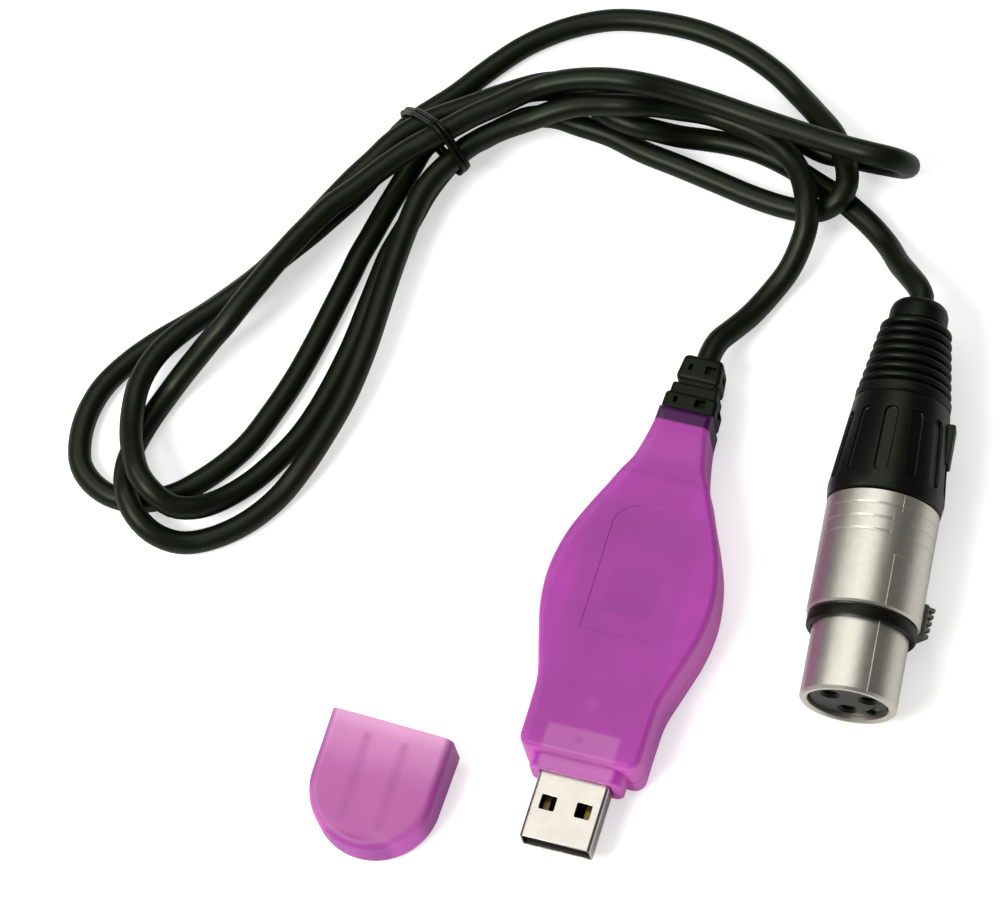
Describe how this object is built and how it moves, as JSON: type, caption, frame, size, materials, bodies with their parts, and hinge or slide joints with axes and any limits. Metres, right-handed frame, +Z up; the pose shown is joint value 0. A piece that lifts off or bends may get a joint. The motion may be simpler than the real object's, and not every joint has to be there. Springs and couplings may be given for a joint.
{
  "type": "usb dmx interface",
  "caption": "USB lighting control interface: translucent plug dongle with a loose cap and a tied lead to a round latching three-pole connector",
  "frame": {"origin": "centre of the dongle's flat underside", "axes": "+Z up, -Y the way the plug points, +Y along the dongle towards its cable"},
  "size_m": [0.1524, 0.1623, 0.0195],
  "materials": {
    "purple_plastic": "glossy translucent, faintly mottled",
    "pale_plastic": "glossy translucent",
    "plug_steel": "nickel plated sheet",
    "satin_nickel": "satin nickel",
    "contact_gold": "gold plated",
    "black_plastic": "matte",
    "black_rubber": "matte",
    "cable_jacket": "satin flexible jacket",
    "board_green": "solder mask",
    "pale_parts": "matte",
    "wire_red": "satin insulation",
    "wire_black": "satin insulation",
    "wire_white": "satin insulation"
  },
  "bodies": {
    "interface": {"upper_shell": "purple_plastic", "lower_shell": "purple_plastic", "usb_plug_shell": "plug_steel", "usb_plug_tongue": "black_plastic", "usb_contact_1": "contact_gold", "usb_contact_2": "contact_gold", "usb_contact_3": "contact_gold", "usb_contact_4": "contact_gold", "circuit_board": "board_green", "microcontroller": "black_plastic", "line_driver_chip": "black_plastic", "crystal_can": "plug_steel", "board_capacitor_1": "pale_parts", "board_capacitor_2": "pale_parts", "status_light": "pale_parts", "wire_header": "black_plastic", "interface_wire_1": "wire_red", "interface_wire_2": "wire_black", "interface_wire_3": "wire_white", "cable_clamp": "black_plastic", "cable_end_in_interface": "cable_jacket", "cable_strain_relief": "black_rubber", "cable_to_interface": "cable_jacket", "cable_hank": "cable_jacket", "cable_to_connector": "cable_jacket", "cable_tie": "black_plastic", "connector_shell": "satin_nickel", "connector_seal_ring": "black_rubber", "connector_insert": "black_plastic", "connector_contact_1": "contact_gold", "connector_contact_2": "contact_gold", "connector_contact_3": "contact_gold", "connector_wire_1": "wire_red", "connector_wire_2": "wire_black", "connector_wire_3": "wire_white", "latch_spring": "plug_steel", "connector_chuck": "black_plastic", "cable_end_in_connector": "cable_jacket"},
    "cap": {"cap_shell": "pale_plastic"},
    "latch": {"connector_latch": "satin_nickel"},
    "bushing": {"connector_bushing": "black_plastic", "connector_boot": "black_rubber"}
  },
  "joints": [
    {"name": "cap_slide", "type": "slide", "parent": "interface", "child": "cap", "axis": [-0.0349, -0.9994, 0], "range_m": [0, 0.03]},
    {"name": "latch_press", "type": "hinge", "parent": "interface", "child": "latch", "pos_m": [0.04217, 0.01385, 0.00627], "axis": [-0.585, -0.0568, -0.809], "range_deg": [0, 2.5], "stiffness_Nm_per_rad": 0.05},
    {"name": "bushing_turn", "type": "hinge", "parent": "interface", "child": "bushing", "pos_m": [0.0398, -0.012, 0.0098], "axis": [-0.0967, 0.9953, 0], "continuous": true}
  ]
}
